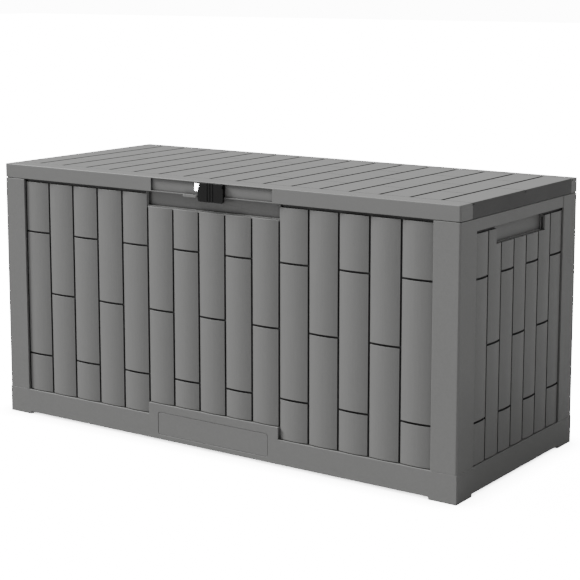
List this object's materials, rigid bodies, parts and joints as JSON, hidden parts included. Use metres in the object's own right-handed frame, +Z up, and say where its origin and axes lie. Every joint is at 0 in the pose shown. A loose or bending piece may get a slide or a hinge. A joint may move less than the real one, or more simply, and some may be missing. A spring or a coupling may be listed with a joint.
{
  "type": "deck storage box",
  "caption": "Rectangular outdoor deck storage box in grey resin with crowned wood-look staves, a hinged planked lid on gas struts, a front latch and recessed end handles.",
  "frame": {"origin": "centre of the footprint on the ground, under the feet", "axes": "+Z up, -Y towards the front with the latch, +X along the box to the right as seen from the front"},
  "size_m": [1.2, 0.5304, 0.59],
  "materials": {
    "resin_grey": "moulded grey resin, fine texture",
    "resin_black": "moulded black resin, satin",
    "bright_steel": "bright plated steel",
    "zinc_steel": "zinc-plated steel",
    "strut_black": "black painted steel tube"
  },
  "bodies": {
    "box": {"base_frame": "resin_grey", "floor_panel": "resin_grey", "badge_plate": "resin_grey", "front_panel_left": "resin_grey", "front_panel_centre": "resin_grey", "front_panel_right": "resin_grey", "back_panel_left": "resin_grey", "back_panel_centre": "resin_grey", "back_panel_right": "resin_grey", "side_panel_left": "resin_grey", "side_panel_right": "resin_grey", "corner_post_front_left": "resin_grey", "corner_post_front_right": "resin_grey", "corner_post_back_left": "resin_grey", "corner_post_back_right": "resin_grey", "handle_cup_left": "resin_grey", "handle_cup_right": "resin_grey", "foot_screws": "zinc_steel", "lap_screws": "zinc_steel", "hinge_body_screws": "zinc_steel", "catch_plate": "zinc_steel", "catch_screws": "zinc_steel", "hinge_body_leaf_left": "zinc_steel", "hinge_body_leaf_centre": "zinc_steel", "hinge_body_leaf_right": "zinc_steel", "hinge_pin_left": "zinc_steel", "hinge_pin_centre": "zinc_steel", "hinge_pin_right": "zinc_steel", "strut_body_bracket_left": "zinc_steel", "strut_body_bracket_right": "zinc_steel", "strut_body_screws": "zinc_steel"},
    "lid": {"lid_shell": "resin_grey", "lid_liner": "resin_grey", "liner_screws": "zinc_steel", "hinge_lid_leaf_left": "zinc_steel", "hinge_lid_leaf_centre": "zinc_steel", "hinge_lid_leaf_right": "zinc_steel", "hinge_lid_screws": "zinc_steel", "latch_plate": "bright_steel", "latch_housing": "resin_black", "latch_pin": "zinc_steel", "latch_screws": "zinc_steel", "strut_lid_bracket_left": "zinc_steel", "strut_lid_bracket_right": "zinc_steel", "strut_lid_screws": "zinc_steel"},
    "latch": {"latch_lever": "resin_black"},
    "strut_left_cylinder": {"strut_cylinder_left": "strut_black"},
    "strut_left_rod": {"strut_rod_left": "bright_steel"},
    "strut_right_cylinder": {"strut_cylinder_right": "strut_black"},
    "strut_right_rod": {"strut_rod_right": "bright_steel"}
  },
  "joints": [
    {"name": "lid_hinge", "type": "hinge", "parent": "box", "child": "lid", "pos_m": [0, 0.2615, 0.5575], "axis": [-1, 0, 0], "range_deg": [0, 85]},
    {"name": "latch_hinge", "type": "hinge", "parent": "lid", "child": "latch", "pos_m": [0.005, -0.2628, 0.5865], "axis": [-1, 0, 0], "range_deg": [0, 100]},
    {"name": "strut_left_swing", "type": "hinge", "parent": "box", "child": "strut_left_cylinder", "pos_m": [-0.573, 0.178, 0.32186], "axis": [-1, 0, 0], "range_deg": [0, 43]},
    {"name": "strut_left_slide", "type": "slide", "parent": "strut_left_cylinder", "child": "strut_left_rod", "axis": [0, -0.5836, 0.8121], "range_m": [0, 0.2045]},
    {"name": "strut_right_swing", "type": "hinge", "parent": "box", "child": "strut_right_cylinder", "pos_m": [0.573, 0.178, 0.32186], "axis": [-1, 0, 0], "range_deg": [0, 43]},
    {"name": "strut_right_slide", "type": "slide", "parent": "strut_right_cylinder", "child": "strut_right_rod", "axis": [0, -0.5836, 0.8121], "range_m": [0, 0.2045]}
  ],
  "couplings": [
    {"joint": "strut_left_swing", "follows": "lid_hinge", "ratio": 0.5},
    {"joint": "strut_left_slide", "follows": "lid_hinge", "m_per_rad": 0.13649},
    {"joint": "strut_right_swing", "follows": "lid_hinge", "ratio": 0.5},
    {"joint": "strut_right_slide", "follows": "lid_hinge", "m_per_rad": 0.13649}
  ]
}
